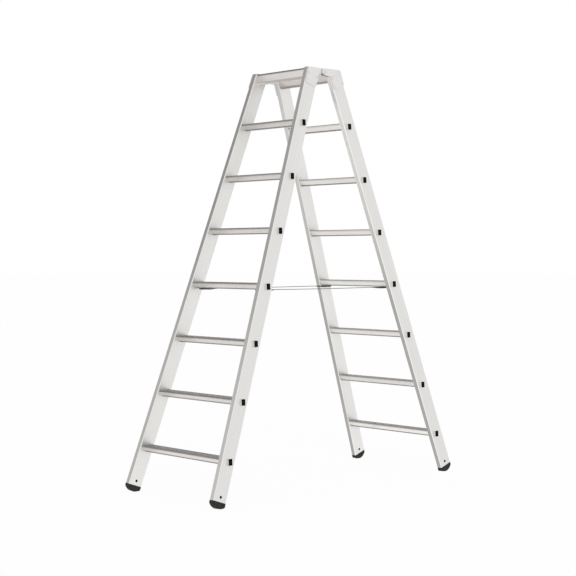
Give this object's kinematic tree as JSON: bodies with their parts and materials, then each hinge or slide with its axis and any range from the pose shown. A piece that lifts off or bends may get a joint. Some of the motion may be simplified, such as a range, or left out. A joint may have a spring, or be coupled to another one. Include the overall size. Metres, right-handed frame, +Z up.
{
  "type": "trestle ladder",
  "caption": "Free-standing double-sided aluminium trestle ladder: two stepped frames hinged at the top, held apart by webbing straps, on rounded black feet.",
  "frame": {"origin": "on the floor, midway between the four feet", "axes": "+X across the ladder to one side, +Y from one frame to the other, +Z up"},
  "size_m": [0.5884, 1.4768, 1.8385],
  "materials": {
    "stile_aluminium": "satin extruded tube",
    "tread_aluminium": "satin extrusion, ribbed on top",
    "hinge_aluminium": "smooth cast and pressed aluminium",
    "rivet_aluminium": "plain",
    "pin_steel": "zinc plated",
    "black_steel": "satin black",
    "black_plastic": "fine grain",
    "grey_plastic": "fine grain",
    "black_rubber": "matt, smooth curved sole",
    "strap_webbing": "flat black woven webbing"
  },
  "bodies": {
    "front_frame": {"front_stile_near": "stile_aluminium", "front_stile_far": "stile_aluminium", "front_tread_1": "tread_aluminium", "front_tread_2": "tread_aluminium", "front_tread_3": "tread_aluminium", "front_tread_4": "tread_aluminium", "front_tread_5": "tread_aluminium", "front_tread_6": "tread_aluminium", "front_tread_7": "tread_aluminium", "front_top_tread": "tread_aluminium", "front_tread_plugs_near": "black_plastic", "front_tread_plugs_far": "black_plastic", "front_foot_near": "black_rubber", "front_foot_far": "black_rubber", "front_foot_rivets": "black_steel", "front_stile_caps": "grey_plastic", "front_hinge_plate_near": "hinge_aluminium", "front_hinge_plate_far": "hinge_aluminium", "front_hinge_rivets": "rivet_aluminium", "front_strap_clamps": "black_steel", "front_strap_rivets": "rivet_aluminium", "hinge_pin_near": "pin_steel", "hinge_pin_far": "pin_steel", "hinge_washers": "black_plastic", "spread_strap_near": "strap_webbing", "spread_strap_far": "strap_webbing"},
    "rear_frame": {"rear_stile_near": "stile_aluminium", "rear_stile_far": "stile_aluminium", "rear_tread_1": "tread_aluminium", "rear_tread_2": "tread_aluminium", "rear_tread_3": "tread_aluminium", "rear_tread_4": "tread_aluminium", "rear_tread_5": "tread_aluminium", "rear_tread_6": "tread_aluminium", "rear_tread_7": "tread_aluminium", "rear_top_tread": "tread_aluminium", "rear_tread_plugs_near": "black_plastic", "rear_tread_plugs_far": "black_plastic", "rear_foot_near": "black_rubber", "rear_foot_far": "black_rubber", "rear_foot_rivets": "black_steel", "rear_stile_caps": "grey_plastic", "rear_hinge_plate_near": "hinge_aluminium", "rear_hinge_plate_far": "hinge_aluminium", "rear_hinge_rivets": "rivet_aluminium", "rear_strap_clamps": "black_steel", "rear_strap_rivets": "rivet_aluminium"}
  },
  "joints": [
    {"name": "fold", "type": "hinge", "parent": "front_frame", "child": "rear_frame", "pos_m": [0, 0, 1.821], "axis": [-1, 0, 0], "range_deg": [0, 39], "deforming": ["spread_strap_near", "spread_strap_far"]}
  ]
}
